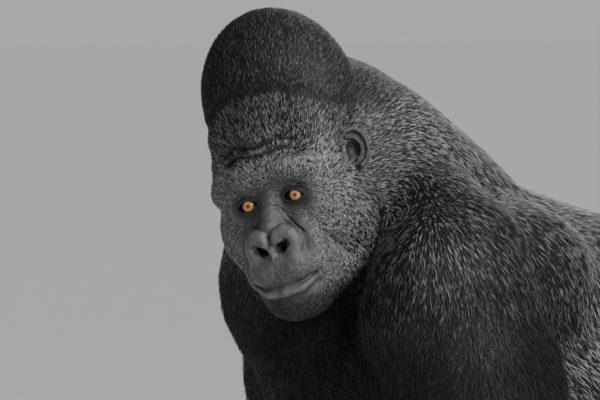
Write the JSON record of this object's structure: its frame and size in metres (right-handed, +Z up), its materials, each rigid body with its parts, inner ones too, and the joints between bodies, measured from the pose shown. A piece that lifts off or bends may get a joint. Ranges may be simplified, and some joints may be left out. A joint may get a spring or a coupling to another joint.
{
  "type": "gorilla",
  "caption": "Life-size adult male gorilla standing on knuckles and soles, sloping silver back, head turned over its left shoulder.",
  "frame": {"origin": "middle of the animal's footprint box, on the floor", "axes": "+Z up; the trunk faces -Y and the animal's left side is +X"},
  "size_m": [0.7724, 1.1646, 1.3123],
  "materials": {
    "grizzled_coat": "dense short grizzled hair",
    "black_coat": "long charcoal-black hair",
    "silver_coat": "silver-grey hair",
    "bare_skin": "finely wrinkled bare black skin",
    "eye_amber": "wet glossy amber-brown eye"
  },
  "bodies": {
    "root": {"belly": "silver_coat", "chest": "black_coat", "head": "grizzled_coat", "left_ear": "bare_skin", "left_eye": "eye_amber", "left_foot": "bare_skin", "left_forearm": "black_coat", "left_hand": "bare_skin", "left_shank": "black_coat", "left_thigh": "silver_coat", "left_upper_arm": "black_coat", "neck": "black_coat", "right_ear": "bare_skin", "right_eye": "eye_amber", "right_foot": "bare_skin", "right_forearm": "black_coat", "right_hand": "bare_skin", "right_shank": "black_coat", "right_thigh": "silver_coat", "right_upper_arm": "black_coat"}
  },
  "joints": []
}
